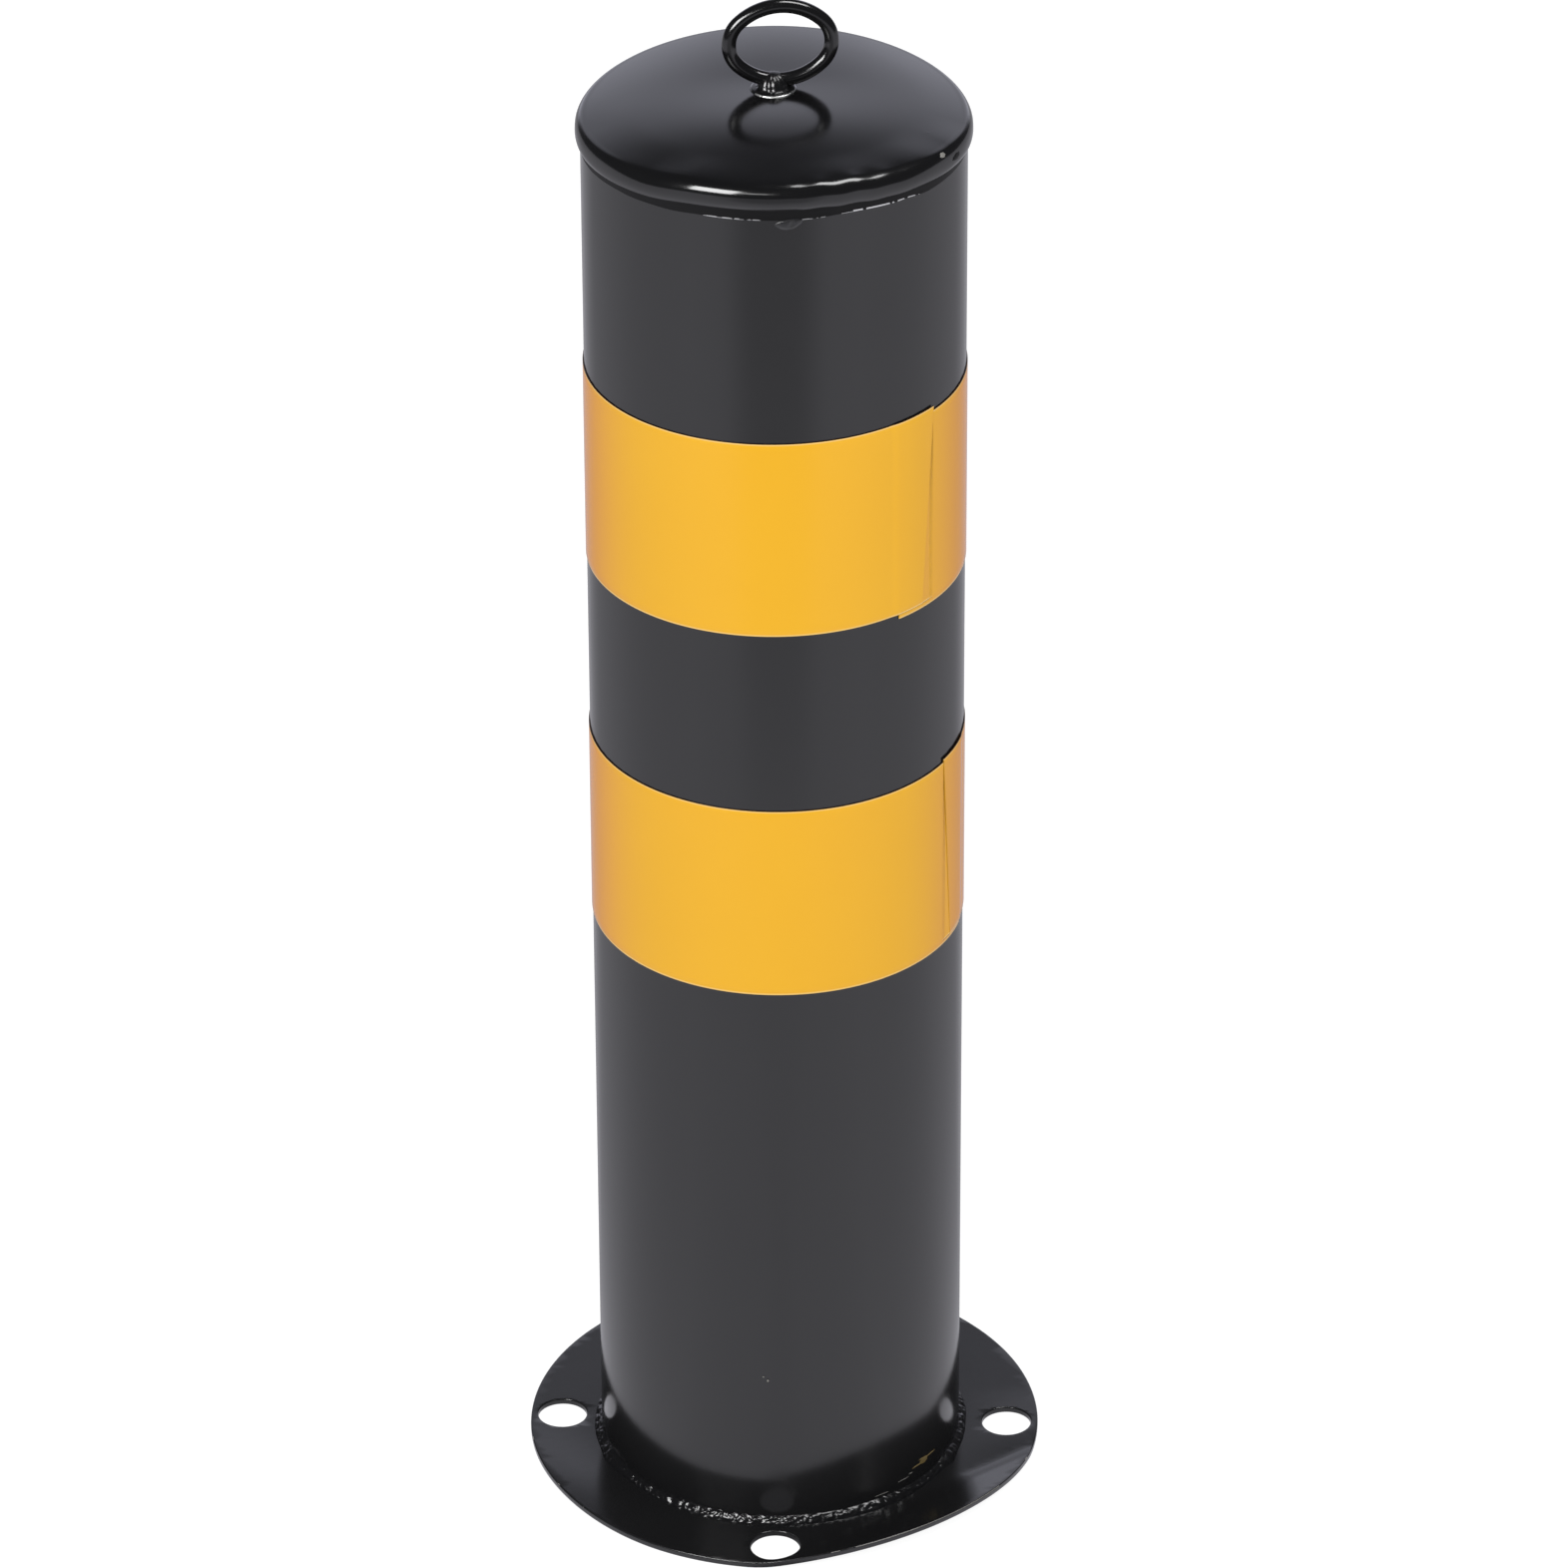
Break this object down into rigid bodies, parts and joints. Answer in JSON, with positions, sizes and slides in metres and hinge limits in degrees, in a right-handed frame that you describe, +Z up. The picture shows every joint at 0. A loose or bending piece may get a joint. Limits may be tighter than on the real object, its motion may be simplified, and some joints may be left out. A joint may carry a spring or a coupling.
{
  "type": "parking bollard",
  "caption": "Fixed tubular parking bollard with a bolt-down round flange, domed cap, lifting ring and reflective tape bands.",
  "frame": {"origin": "centre of the bolt circle on the underside of the flange", "axes": "+Z up along the post, -Y towards the front, where the tack weld under the cap shows"},
  "size_m": [0.162, 0.162, 0.4998],
  "materials": {
    "black_paint": "gloss",
    "yellow_tape": "satin"
  },
  "bodies": {
    "root": {"base_flange": "black_paint", "post_tube": "black_paint", "base_weld": "black_paint", "top_cap": "black_paint", "cap_seam_weld": "black_paint", "cap_tack_weld": "black_paint", "lifting_ring": "black_paint", "ring_weld": "black_paint", "upper_tape": "yellow_tape", "lower_tape": "yellow_tape"}
  },
  "joints": []
}
